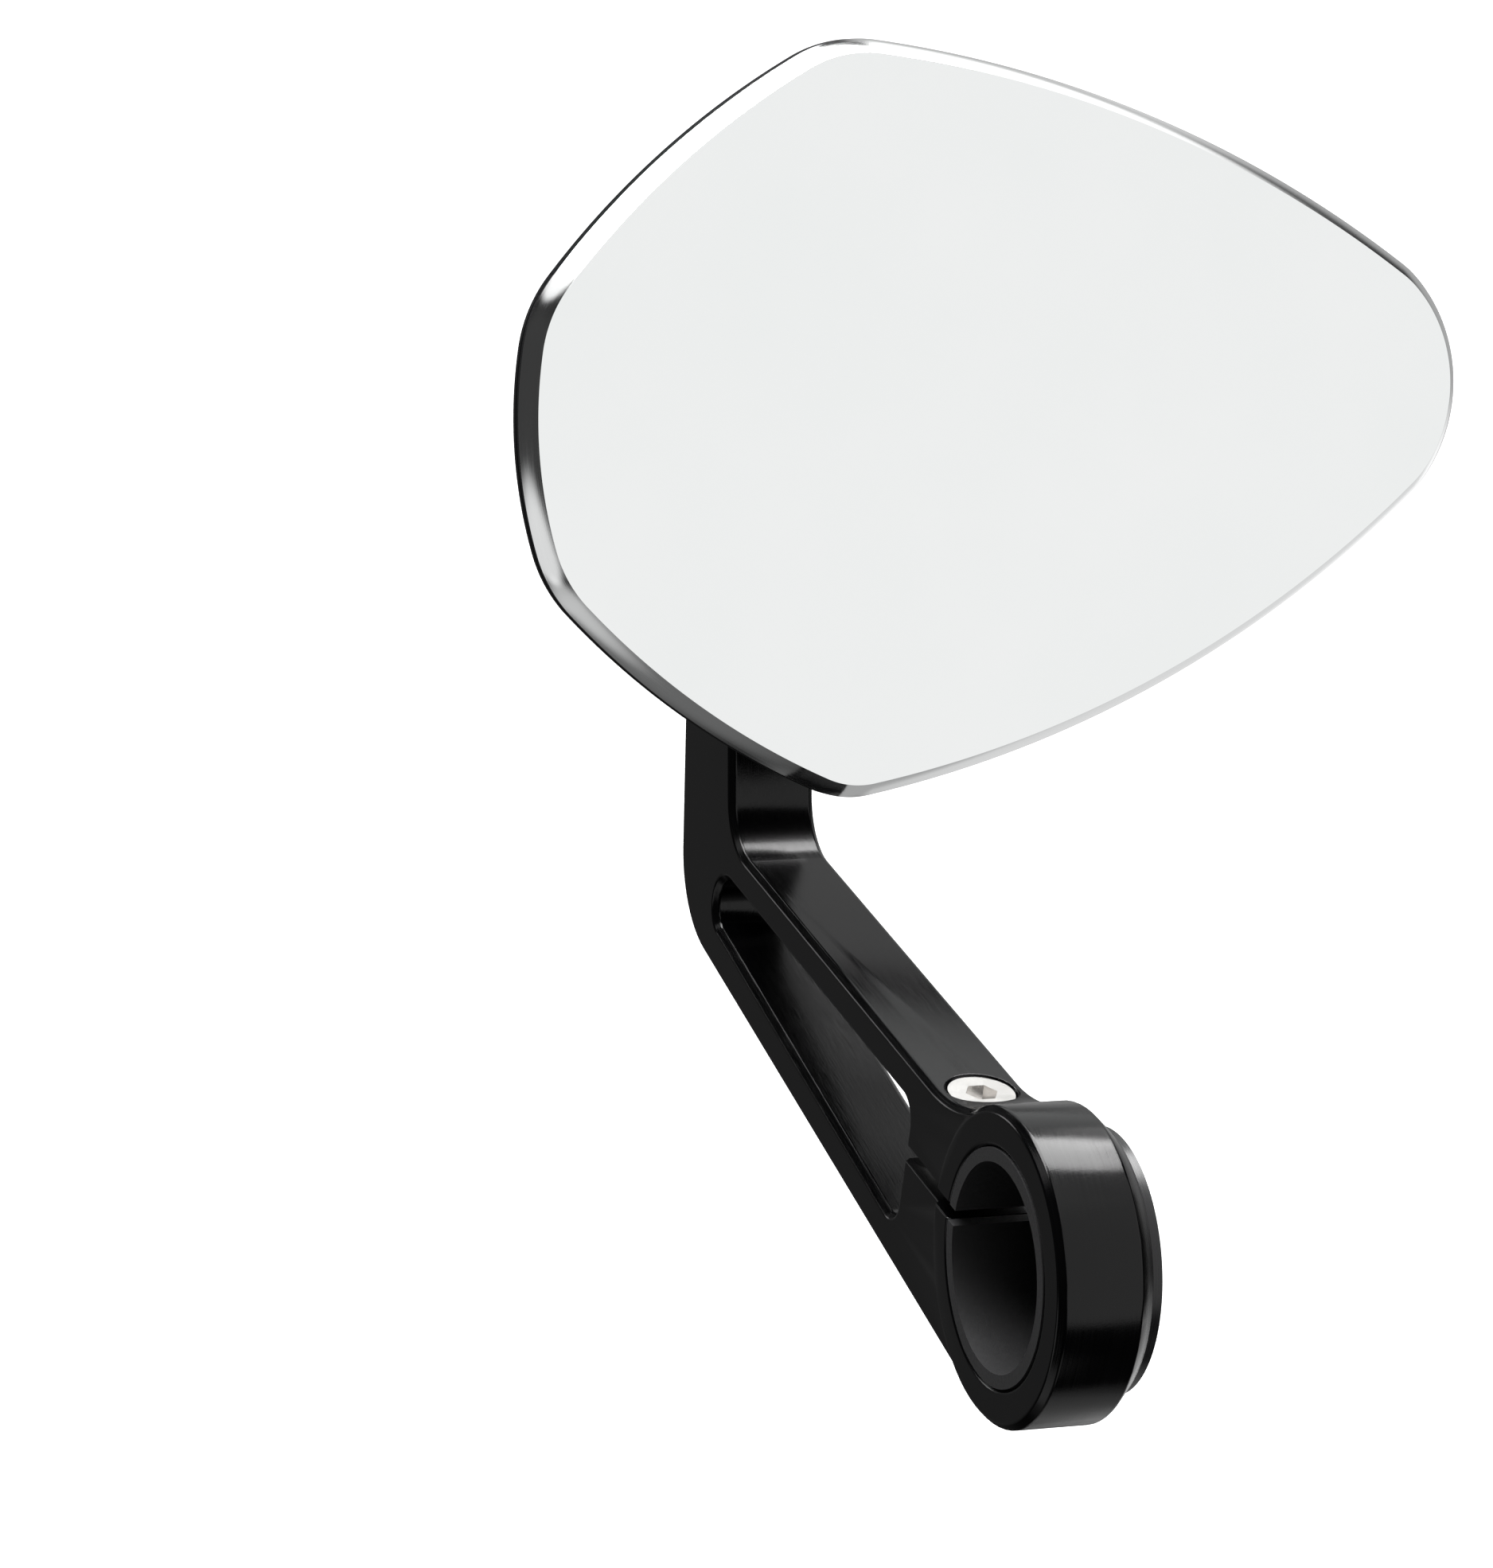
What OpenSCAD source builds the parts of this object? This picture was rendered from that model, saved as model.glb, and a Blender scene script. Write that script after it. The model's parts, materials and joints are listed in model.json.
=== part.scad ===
// Bar-end mirror for a 22.2 mm (7/8 inch) handlebar.
// Frame: +X along the handlebar, outboard; +Y forward, away from the rider; +Z up.
// The origin is the centre of the clamp ring, on the handlebar's axis.

/* [Handlebar clamp] */
// Outside diameter of the handlebar
bar_d = 22.2; // [20:0.1:28]
// Wall of the split reducing sleeve
sleeve_wall = 1.5; // [1:0.1:3]
// Wall of the clamp ring
ring_wall = 4.3; // [3.6:0.1:6]
// Width of the clamp ring along the bar
ring_w = 11.5; // [10:0.5:16]
// Chamfer on the ring's outboard edge
outboard_chamfer = 2.2; // [0.5:0.1:2.8]
// Chamfer on the ring's inboard edge
inboard_chamfer = 0.75; // [0.3:0.05:1.5]
// Width of the clamp slit
slit_w = 1.8; // [1:0.1:2.6]
// Thickness of the end cap at its edge
cap_edge = 1.1; // [0.8:0.1:2]

/* [Clamp screw] */
// Nominal diameter of the clamp screw
screw_d = 4; // [3:0.5:5]
// Length of the clamp screw under and through its head
screw_len = 20; // [16:1:24]

/* [Arm] */
// Width of the arm along the bar
arm_w = 10.5; // [9:0.5:14]
// Angle of the arm's top face above level
arm_rise = 18.4; // [17:0.1:20]
// Height of the arm's top face above the bar axis, square to that face
arm_top = 9.9; // [9:0.1:11]
// Angle of the arm's underside above level
under_rise = 25.2; // [24:0.1:27]
// Angle of the window's lower edge above level
window_rise = 25.8; // [24:0.1:27]
// Chamfer along the arm's edges
arm_edge = 0.7; // [0.3:0.1:0.9]
// Thickness of the upper leg
upper_leg = 4.6; // [3:0.1:5.5]
// Thickness of the lower leg where it meets the column
lower_leg = 5.3; // [3.5:0.1:6]
// Forward distance from the bar axis to the column's front face
reach = 78.2; // [64:0.2:100]
// Depth of the column, front to back
column_depth = 13.2; // [11:0.2:17]
// Lean of the column's back face
column_taper = 3.7; // [0:0.1:5]
// How far the window runs into the column
window_in = 5.4; // [3:0.1:7]
// Radius of the bend in front of the column
front_bend = 7; // [4:0.5:10]
// Radius of the bend behind the column
back_bend = 12.5; // [10:0.5:18]
// Radius of the bend between the clamp ring and the arm's top face
foot_bend = 24; // [16:1:28]

/* [Ball joint] */
// Height of the ball centre above the bar axis
ball_height = 85.3; // [70:0.1:105]
// Diameter of the ball
ball_d = 11; // [9:0.5:13.5]
// Wall of the spherical liner
liner_wall = 2.5; // [2:0.1:3]
// Wall of the round boss around the joint
boss_wall = 3.4; // [2.6:0.1:5]
// Diameter of the ball stud's neck
neck_d = 5.5; // [4.5:0.1:6.5]
// Most that the stud tilts in the liner
tilt_max = 15; // [10:1:18]
// Depth of the adjuster plug
plug_depth = 3; // [2.5:0.1:5]

/* [Hub] */
// Radius of the hub's flange
hub_r = 15.5; // [14.6:0.1:20]
// Thickness of the hub's flange
hub_flange = 3; // [2.4:0.1:4.5]
// Radius of the circle that the hub screws lie on
hub_screw_circle = 11.7; // [11.5:0.1:12.2]
// Diameter of the hub screws
hub_screw_d = 3; // [2.5:0.1:3]

/* [Mirror head] */
// Distance from the ball centre to the plane of the mirror's bevelled edge
mirror_offset = 25; // [24.4:0.1:32]
// Distance from the ball to the middle of the plate, outboard
plate_shift = 21.4; // [0:0.1:30]
// Turn of the head about the stud at rest, outboard end up
head_turn = 3.6; // [-10:0.1:10]
// Distance from the plate's middle to its inboard corners, before rounding
inboard_reach = 55.5; // [50:0.1:64]
// Half the plate's height at its inboard corners
inboard_half = 15.8; // [14:0.1:22]
// Distance from the plate's middle to its upper crest, inboard
crest_back = 17.6; // [14:0.1:26]
// Height of the upper crest above the plate's middle
crest_up = 43.7; // [38:0.1:52]
// Distance from the plate's middle to its lower crest, inboard
low_crest_back = 22; // [14:0.1:26]
// Depth of the lower crest below the plate's middle
crest_down = 42.7; // [38:0.1:52]
// Distance from the plate's middle to its nose corners, before rounding
nose_reach = 53; // [50:0.1:64]
// Half the plate's height at its nose corners
nose_half = 12.8; // [8:0.1:14]
// Thickness of the polished plate
plate_t = 2.8; // [2.7:0.1:4]
// Width of the plate's bevel
bevel_w = 1.6; // [1:0.05:2.5]
// Depth of the plate's bevel
bevel_h = 2.2; // [1.5:0.05:2.6]
// Height of the mirror's crown over its edge
crown = 0.8; // [0.3:0.1:2]
// Thickness of the bonding film
film_t = 0.3; // [0.2:0.05:0.6]
// Thickness of the back at its rim
back_rim = 1; // [0.5:0.1:2]
// Thickness of the back at its middle
back_t = 3.2; // [2.8:0.1:4]
// Share of the back's outline that its raised middle takes
back_share = 0.86; // [0.7:0.01:0.95]

/* [Hidden] */
$fn = 96;

// Gaps between pieces
clamp_gap = 0.05;
running_gap = 0.05;
seat_gap = 0.08;
face_gap = 0.1;
end_gap = 0.15;
past = 1;

// Clamp
sleeve_bore_r = bar_d / 2 + clamp_gap;
sleeve_r = sleeve_bore_r + sleeve_wall;
ring_bore_r = sleeve_r + running_gap;
ring_r = ring_bore_r + ring_wall;
ring_mouth = 0.4;
cap_face_x = ring_w / 2 + end_gap;
cap_step = 0.6;
cap_r = ring_r - outboard_chamfer - cap_step;
cap_crown = 0.7;
cap_crown_r = cap_r * 0.72;
register_len = 2;
register_r = ring_bore_r - face_gap;
sleeve_end = cap_face_x - register_len;
cord_r = 0.5;
cord_at = cap_face_x - register_len / 2;

// Clamp screw
screw_r = screw_d / 2;
screw_head_r = screw_d * 0.92;
screw_hole_r = screw_r + 0.25;
sink_gap = 0.3;
screw_below = 0.15;
screw_at = ring_r + screw_head_r + 0.1;
screw_hex = screw_d * 0.8;
screw_tip = arm_top - screw_below - screw_len;

// Window in the arm
window_near = screw_at + screw_head_r + 2.5;
window_radius = 2.5;
window_top_radius = 3.8;
window_low_radius = 2.2;
window_wall_part = 0.98;
arm_half = arm_w / 2;
under_r = ring_r - 0.1;
foot_r = ring_r - 0.2;
foot_end = window_near - 1;
foot_reach = foot_bend * 1.25;
ball_y = reach + column_depth / 2;

// Ball joint, measured along the stud from the ball's centre, forward positive
ball_r = ball_d / 2;
liner_bore_r = ball_r + running_gap;
liner_r = liner_bore_r + liner_wall - 0.08;
socket_r = liner_r + seat_gap;
socket_bore_r = socket_r + 0.55;
plug_r = socket_bore_r + 0.4;
boss_r = plug_r + boss_wall - 0.4;
boss_chamfer = 0.8;
front_face = -column_depth / 2;
mouth_r = socket_r * 0.745;
mouth_depth = sqrt(socket_r * socket_r - mouth_r * mouth_r);
mouth_flare = 1;
liner_end = liner_r * 0.725;
liner_hole_r = 3;
cup_start = 2;
cup_end = liner_end + 1.4;
cup_bore_r = liner_r * 0.56;
spring_t = 0.6;
spring_rise = 0.4;
spring_bore_r = cup_bore_r + 0.2;
spring_r = socket_bore_r - 0.4;
plug_start = cup_end + 2 * (spring_t + spring_rise);
plug_end = plug_start + plug_depth;
boss_end = plug_end + 0.3;
plug_hex = 8;
plug_hex_depth = 2;
lock_r = 1.5;
lock_at = plug_start + plug_depth / 2;
lock_hex = 1.5;
lock_hex_depth = 1.5;
flare_r = 14;

// Head, measured along the stud from the ball's centre
face_at = -mirror_offset;
plate_back = face_at + plate_t;
film_back = plate_back + film_t;
rim_back = film_back + back_rim;
back_at = film_back + back_t;
flange_at = back_at + hub_flange;
hub_end = flange_at + 4.2;
hub_body_r = 8.2;
hub_tip_r = 7;
pocket_r = 6.2;
pocket_end = back_at + 4;
hub_screw_r = hub_screw_d / 2;
hub_sink_r = hub_screw_r * 1.9;
hub_screw_len = 6;

// Stud and swivel
shank_r = 3;
bush_bore_r = shank_r + running_gap;
bush_r = 4;
bush_flange_r = 6;
bush_flange = 0.6;
bush_end = hub_end + bush_flange;
shoulder_at = bush_end + face_gap;
shoulder_t = 1;
shoulder_r = 5;
thread_r = 2.5;
swivel_t = 0.4;
swivel_rise = 0.2;
washer_t = 0.6;
washer_r = 5.5;
nut_t = 2.2;
nut_across = 8;
step_at = pocket_end - face_gap - swivel_t - swivel_rise;
nut_face = step_at - washer_t;
nut_end = nut_face - nut_t;
stud_end = nut_end - 0.2;

// Mirror outline, outboard along the first axis and down along the second: six corners, anticlockwise,
// each with its rounding, and the rise of each side's arc
outline_corners = [
    [nose_reach, -nose_half], [nose_reach, nose_half],
    [-low_crest_back, crest_down], [-inboard_reach, inboard_half],
    [-inboard_reach, -inboard_half], [-crest_back, -crest_up]
];
// The nose keeps its shape as it grows: its roundings stay a little tighter than the arc between them
nose_round = 1.01 * nose_half;
nose_rise = 0.42 * nose_half;
outline_round = [nose_round, nose_round, 11.3, 16.6, 16.6, 15.9];
outline_rise = [nose_rise, 5.9, 2.5, 2.4, 2.8, 5.1];
corner_steps = 8;
side_steps = 8;
crown_rings = 3;
film_inset = 0.8;

// ---- Helpers ----

function unit(v) = v / norm(v);
function turned_short(a) = a > 180 ? a - 360 : (a < -180 ? a + 360 : a);
function polar(centre, r, a) = centre + r * [cos(a), sin(a)];
function heading(v) = atan2(v[1], v[0]);

// Points of an arc about a centre, from one heading through a turn
function arc(centre, r, start, turn, steps) =
    [for (i = [0:steps]) polar(centre, r, start + turn * i / steps)];

// Corner of a polygon rounded by an arc that touches both its sides
function corner(before, at, after, r, steps = 8) =
    r == 0 ? [at] :
    let (u = unit(before - at), v = unit(after - at))
    let (half = acos(u * v) / 2, reach_back = r / tan(half))
    let (centre = at + unit(u + v) * r / sin(half))
    let (start = heading(at + u * reach_back - centre), end = heading(at + v * reach_back - centre))
    arc(centre, r, start, turned_short(end - start), steps);

// Where two lines meet, each given by a point on it and its direction
function lines_meet(p, u, q, v) = p + u * cross(q - p, v) / cross(u, v);

// Anticlockwise polygon drawn in by an inset, with each corner rounded: a hollow corner's radius is negative
function drawn_in(points, radii, inset, steps = 12) =
    let (n = len(points), sides = [for (i = [0:n - 1]) unit(points[(i + 1) % n] - points[i])])
    let (starts = [for (i = [0:n - 1]) points[i] + inset * [-sides[i][1], sides[i][0]]])
    let (moved = [for (i = [0:n - 1]) let (j = (i + n - 1) % n)
        lines_meet(starts[j], sides[j], starts[i], sides[i])])
    [for (i = [0:n - 1]) each corner(moved[(i + n - 1) % n], moved[i], moved[(i + 1) % n],
        radii[i] == 0 ? 0 : abs(radii[i] - inset), steps)];

// Point at distance along and height above the arm's own slope, as [Y, Z]
function on_arm(along, above) = [
    along * cos(arm_rise) - above * sin(arm_rise),
    along * sin(arm_rise) + above * cos(arm_rise)
];

// Centre and radius of the outline's side that starts at corner i
function side_of(i) =
    let (a = outline_corners[i], b = outline_corners[(i + 1) % 6], rise = outline_rise[i])
    let (span = norm(b - a), r = (span * span / 4 + rise * rise) / (2 * rise))
    let (inward = [a[1] - b[1], b[0] - a[0]] / span)
    [(a + b) / 2 + inward * (r - rise), r];

// The meeting point of two circles that lies nearest a given point
function circles_meet(c1, r1, c2, r2, near) =
    let (d = c2 - c1, gap = norm(d), along = (gap * gap + r1 * r1 - r2 * r2) / (2 * gap))
    let (off = sqrt(max(r1 * r1 - along * along, 0)), square = [-d[1], d[0]] / gap)
    let (m = c1 + d / gap * along, p = m + square * off, q = m - square * off)
    norm(p - near) < norm(q - near) ? p : q;

// Centre of the rounding arc at corner i of the outline
function rounding_centre(i) =
    let (a = side_of((i + 5) % 6), b = side_of(i), r = outline_round[i])
    circles_meet(a[0], a[1] - r, b[0], b[1] - r, outline_corners[i]);

// The mirror outline, drawn in by an inset
function mirror_outline(inset) =
    [for (i = [0:5])
        let (before = side_of((i + 5) % 6), side = side_of(i))
        let (here = rounding_centre(i), next = rounding_centre((i + 1) % 6))
        let (a = heading(here - before[0]), b = heading(here - side[0]), c = heading(next - side[0]))
        each concat(
            arc(here, outline_round[i] - inset, a, turned_short(b - a), corner_steps),
            [for (k = [1:side_steps - 1])
                polar(side[0], side[1] - inset, b + turned_short(c - b) * k / side_steps)]
        )
    ];

module along_x() { rotate([0, 90, 0]) children(); }
module along_y() { rotate([-90, 0, 0]) children(); }
module in_side_view() { rotate([90, 0, 90]) children(); }

// X across, Y along the arm's slope, Z square to its top face
module on_slope() { rotate([arm_rise, 0, 0]) children(); }

// Origin at the ball, Z along the stud's axis and forward
module at_ball() { translate([0, ball_y, ball_height]) along_y() children(); }

// As at_ball, with the head's own turn about the stud
module at_head() { translate([0, ball_y, ball_height]) rotate([0, -head_turn, 0]) along_y() children(); }

// Ring with a square section, from z1 to z2
module ring_solid(r_out, r_in, z1, z2) {
    translate([0, 0, z1]) difference() {
        cylinder(r = r_out, h = z2 - z1);
        translate([0, 0, -past]) cylinder(r = r_in, h = z2 - z1 + 2 * past);
    }
}

// Hexagonal prism by its width across flats
module hexagon(across, z1, z2) {
    translate([0, 0, z1]) cylinder(d = across / cos(30), h = z2 - z1, $fn = 6);
}

// Conical spring washer that rests on its outer rim at z = 0
module cone_washer(r_out, r_in, t, rise) {
    rotate_extrude() polygon([[r_in, rise], [r_out, 0], [r_out, t], [r_in, t + rise]]);
}

// Triangles that close a ring of n points, each point paired with the one as far round the other way
function cap(n) = [for (i = [0:floor((n - 1) / 2)]) each concat(
    i + 1 < n - i - 1 ? [[i, i + 1, n - i - 1]] : [],
    i > 0 && i < n - i - 1 ? [[i, n - i - 1, n - i]] : []
)];

// Triangles that close a ring of n points, all from its first point
function fan(n) = [for (i = [1:n - 2]) [0, i, i + 1]];

// Closed solid through rings of points, anticlockwise seen from its far end, from its floor up
module loft(rings, fanned = false) {
    n = len(rings[0]);
    last = len(rings) - 1;
    ends = fanned ? fan(n) : cap(n);
    polyhedron(
        points = [for (ring = rings) each ring],
        faces = concat(
            ends,
            [for (k = [0:last - 1], i = [0:n - 1]) each [
                [k * n + i, (k + 1) * n + i, k * n + (i + 1) % n],
                [(k + 1) * n + i, (k + 1) * n + (i + 1) % n, k * n + (i + 1) % n]
            ]],
            [for (f = ends) [last * n + f[2], last * n + f[1], last * n + f[0]]]
        ),
        convexity = 4);
}

// Countersunk screw with a hexagon socket: its head's face is at z = 0 and it points down
module sunk_screw(r, head_r, length, across) {
    difference() {
        union() {
            translate([0, 0, -length]) cylinder(r = r, h = length);
            translate([0, 0, r - head_r]) cylinder(r1 = r, r2 = head_r, h = head_r - r);
        }
        hexagon(across, -r * 0.6, past);
    }
}

// Half space in front of (or behind) a plane square to the stud
module slab(z1, z2) {
    size = 3 * boss_r;
    translate([-size / 2, -size / 2, z1]) cube([size, size, z2 - z1]);
}

// ---- Pieces fixed to the handlebar ----

module bar_sleeve() {
    color("dimgray") difference() {
        along_x() ring_solid(sleeve_r, sleeve_bore_r, -ring_w / 2, sleeve_end);
        on_slope() translate([-ring_w, 0, -slit_w / 2]) cube([2 * ring_w, 2 * sleeve_r, slit_w]);
    }
}

// ---- Cap that closes the ring ----

module end_cap() {
    groove_r = ring_bore_r - 2 * cord_r;
    edge_x = cap_face_x + cap_edge;
    color("#1b1c1d") along_x() rotate_extrude() polygon([
        [0, sleeve_end + end_gap], [register_r, sleeve_end + end_gap],
        [register_r, cord_at - cord_r], [groove_r, cord_at - cord_r],
        [groove_r, cord_at + cord_r], [register_r, cord_at + cord_r],
        [register_r, cap_face_x], [cap_r, cap_face_x], [cap_r, edge_x],
        [cap_r - cap_step, edge_x], [cap_crown_r, edge_x + cap_crown], [0, edge_x + cap_crown]
    ]);
}

module cap_ring() {
    color("#26272a") along_x() translate([0, 0, cord_at])
        rotate_extrude() translate([ring_bore_r - cord_r, 0]) circle(r = cord_r, $fn = 32);
}

// ---- Arm ----

// Corners of the arm's side view, as [Y, Z], from the ring up to the ball's height
function arm_corners() =
    let (touch = under_r * [sin(under_rise), -cos(under_rise)])
    let (back_top = [reach + column_depth, ball_height])
    let (under = [cos(under_rise), sin(under_rise)], lean = [sin(column_taper), -cos(column_taper)])
    [
        [0, 0], touch, lines_meet(touch, under, back_top, lean), back_top, [reach, ball_height],
        [reach, (arm_top + reach * sin(arm_rise)) / cos(arm_rise)], on_arm(0, arm_top)
    ];
arm_rounds = [0, 0, back_bend, 0, 0, -front_bend, 0];

// Corners of the foot that blends the clamp ring into the arm's top face, as [Y, Z]
function foot_corners() =
    let (turn = arm_rise + asin((arm_top + foot_reach) / (foot_r + foot_reach)))
    let (leave = foot_r * [cos(turn), sin(turn)], top = [cos(arm_rise), sin(arm_rise)])
    [
        [0, 0], on_arm(foot_end, 0), on_arm(foot_end, arm_top),
        lines_meet(leave, [sin(turn), -cos(turn)], on_arm(0, arm_top), top), leave
    ];
foot_rounds = [0, 0, 0, -foot_bend, 0];

// Corners of the window between the arm's two legs, as [Y, Z]
function window_corners() =
    let (touch = under_r * [sin(under_rise), -cos(under_rise)], roof = arm_top - upper_leg)
    let (under_z = touch[1] + (reach - touch[0]) * tan(under_rise))
    let (low = [reach, under_z + lower_leg / cos(under_rise)], far_y = reach + window_in)
    let (near_high = on_arm(window_near, roof), down = on_arm(0, -1))
    let (fall = (near_high[1] - low[1] - (near_high[0] - low[0]) * tan(window_rise))
        / (down[0] * tan(window_rise) - down[1]))
    [
        near_high, near_high + down * fall, [far_y, low[1] + (far_y - low[0]) * tan(window_rise)],
        [far_y, (roof + far_y * sin(arm_rise)) / cos(arm_rise)]
    ];

// The window's roundings: the two at its far wall shrink together where that wall is too low for them
function window_rounds() =
    let (corners = window_corners(), wall = corners[3][1] - corners[2][1])
    let (top_part = tan((90 + arm_rise) / 2), low_part = tan((90 - window_rise) / 2))
    let (taken = window_top_radius * top_part + window_low_radius * low_part)
    let (share = min(1, window_wall_part * wall / taken))
    [window_radius, window_radius, window_low_radius * share, window_top_radius * share];

// Outline in the side view extruded across X; it is drawn in at both ends, by a chamfer that may be negative
module chamfered_slab(corners, rounds, half, chamfer, fanned = false) {
    straight = half - abs(chamfer);
    levels = [[-half, chamfer], [-straight, 0], [straight, 0], [half, chamfer]];
    in_side_view() loft([for (level = levels)
        [for (p = drawn_in(corners, rounds, level[1])) [p[0], p[1], level[0]]]], fanned);
}

// Web that blends the column's sides into the round boss
module boss_web() {
    flare_x = arm_half + flare_r;
    flare_z = sqrt(pow(boss_r + flare_r, 2) - flare_x * flare_x);
    turn = 90 - heading([flare_z, flare_x]);
    right = arc([flare_x, -flare_z], flare_r, 180, -turn, 12);
    left = [for (i = [len(right) - 1:-1:0]) [-right[i][0], right[i][1]]];
    translate([0, reach + column_depth - arm_edge, ball_height]) rotate([90, 0, 0])
        linear_extrude(column_depth - 2 * arm_edge) polygon(concat([[0, -flare_z]], right, [[0, 0]], left));
}

module clamp_ring() {
    half = ring_w / 2;
    along_x() rotate_extrude() polygon([
        [ring_bore_r - past, -half], [ring_r - inboard_chamfer, -half],
        [ring_r, inboard_chamfer - half], [ring_r, half - outboard_chamfer],
        [ring_r - outboard_chamfer, half], [ring_bore_r - past, half]
    ]);
}

// Everything that is bored through the clamp ring and the foot of the arm
module clamp_cuts() {
    along_x() cylinder(r = ring_bore_r, h = 4 * ring_w, center = true);
    along_x() for (side = [-1, 1]) mirror([0, 0, side < 0 ? 1 : 0])
        translate([0, 0, ring_w / 2 - ring_mouth])
            cylinder(r1 = ring_bore_r, r2 = ring_bore_r + 2 * ring_mouth, h = 2 * ring_mouth);
    on_slope() {
        translate([-ring_w, 0, -slit_w / 2]) cube([2 * ring_w, window_near + past, slit_w]);
        translate([0, screw_at, 0]) {
            translate([0, 0, screw_tip - past]) cylinder(r = screw_r, h = arm_top - screw_tip);
            cylinder(r = screw_hole_r, h = arm_top);
            translate([0, 0, arm_top - screw_below - (screw_head_r - screw_r)])
                cylinder(r1 = screw_r + sink_gap, r2 = screw_head_r + sink_gap, h = screw_head_r - screw_r);
            translate([0, 0, arm_top - screw_below]) cylinder(r = screw_head_r + sink_gap, h = 3 * past);
        }
    }
}

// Everything that is bored into the boss
module socket_cuts() {
    at_ball() {
        sphere(r = socket_r);
        translate([0, 0, front_face])
            cylinder(r1 = mouth_r + mouth_flare, r2 = mouth_r - mouth_flare,
                h = -2 * (mouth_depth + front_face));
        cylinder(r = socket_bore_r, h = boss_end);
        translate([0, 0, plug_start - spring_rise]) cylinder(r = plug_r, h = boss_end);
    }
    translate([0, ball_y + lock_at, ball_height]) cylinder(r = lock_r, h = 2 * boss_r);
}

module arm() {
    color("#1f2021") difference() {
        union() {
            clamp_ring();
            difference() {
                chamfered_slab(arm_corners(), arm_rounds, arm_half, arm_edge);
                chamfered_slab(window_corners(), window_rounds(), arm_half + past, -past - arm_edge);
            }
            chamfered_slab(foot_corners(), foot_rounds, arm_half, arm_edge, true);
            boss_web();
            at_ball() rotate_extrude() polygon([
                [0, front_face], [boss_r, front_face], [boss_r, boss_end - boss_chamfer],
                [boss_r - boss_chamfer, boss_end], [0, boss_end]
            ]);
        }
        clamp_cuts();
        socket_cuts();
    }
}

module clamp_screw() {
    color("silver") on_slope() translate([0, screw_at, arm_top - screw_below])
        sunk_screw(screw_r, screw_head_r, screw_len, screw_hex);
}

module thrust_cup() {
    color("#b08d3f") at_ball() difference() {
        ring_solid(socket_bore_r, cup_bore_r, cup_start, cup_end);
        sphere(r = socket_r);
    }
}

module disc_springs() {
    color("gray") at_ball() {
        translate([0, 0, cup_end]) cone_washer(spring_r, spring_bore_r, spring_t, spring_rise);
        translate([0, 0, plug_start]) mirror([0, 0, 1])
            cone_washer(spring_r, spring_bore_r, spring_t, spring_rise);
    }
}

module adjuster_plug() {
    rim = 0.5;
    color("#2a2b2d") at_ball() difference() {
        rotate_extrude() polygon([
            [0, plug_start], [plug_r, plug_start], [plug_r, plug_end - rim],
            [plug_r - rim, plug_end], [0, plug_end]
        ]);
        hexagon(plug_hex, plug_end - plug_hex_depth, plug_end + past);
    }
}

module lock_screw() {
    top = boss_r - 0.3;
    color("#2a2b2d") translate([0, ball_y + lock_at, ball_height]) difference() {
        translate([0, 0, plug_r]) cylinder(r = lock_r, h = top - plug_r);
        hexagon(lock_hex, top - lock_hex_depth, top + past);
    }
}

// ---- Liner, which turns with the ball inside the arm's boss ----

module liner_front() {
    hole_near = neck_d / 2 / cos(tilt_max) + 0.3;
    hole_far = hole_near + liner_r * tan(tilt_max);
    color("ivory") at_ball() difference() {
        intersection() {
            sphere(r = liner_r);
            slab(-liner_end, 0);
        }
        sphere(r = liner_bore_r);
        translate([0, 0, -liner_r]) cylinder(r1 = hole_far, r2 = hole_near, h = liner_r);
    }
}

module liner_rear() {
    color("ivory") at_ball() difference() {
        intersection() {
            sphere(r = liner_r);
            slab(0, liner_end);
        }
        sphere(r = liner_bore_r);
        cylinder(r = liner_hole_r, h = liner_r);
    }
}

// ---- Ball stud and what turns with it ----

module ball_stud() {
    color("silver") at_ball() {
        sphere(r = ball_r);
        translate([0, 0, shoulder_at]) cylinder(d = neck_d, h = -shoulder_at);
        intersection() {
            translate([0, 0, shoulder_at]) cylinder(r = shoulder_r, h = shoulder_t);
            hexagon(2 * shoulder_r - 1, shoulder_at, shoulder_at + shoulder_t);
        }
        translate([0, 0, step_at]) cylinder(r = shank_r, h = shoulder_at - step_at);
        translate([0, 0, stud_end]) cylinder(r = thread_r, h = step_at - stud_end);
    }
}

module stud_nut() {
    color("silver") at_ball() difference() {
        hexagon(nut_across, nut_end, nut_face);
        translate([0, 0, nut_end - past]) cylinder(r = thread_r, h = nut_t + 2 * past);
    }
}

module stud_washer() {
    color("silver") at_ball() ring_solid(washer_r, thread_r, nut_face, step_at);
}

module swivel_spring() {
    color("gray") at_ball() translate([0, 0, step_at])
        cone_washer(washer_r, bush_bore_r, swivel_t, swivel_rise);
}

// ---- Mirror head ----

// The mirror's outline drawn in and scaled about the plate's middle, at a height along the stud
function plate_ring(inset, z, scale_by = 1) =
    [for (p = mirror_outline(inset)) [p[0] * scale_by, p[1] * scale_by, z]];

// Polished plate: its front is crowned like a shallow dome, inside a bevel
module mirror_plate() {
    color("#dfe3e2") at_head() translate([plate_shift, 0, 0]) loft(concat(
        [for (k = [1:crown_rings]) let (s = k / (crown_rings + 1))
            plate_ring(bevel_w, face_at - crown * (1 - s * s), s)],
        [plate_ring(bevel_w, face_at), plate_ring(0, face_at + bevel_h), plate_ring(0, plate_back)]
    ));
}

module bond_film() {
    color("#3a3b3d") at_head() translate([plate_shift, 0, 0])
        loft([plate_ring(film_inset, plate_back), plate_ring(film_inset, film_back)]);
}

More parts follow.
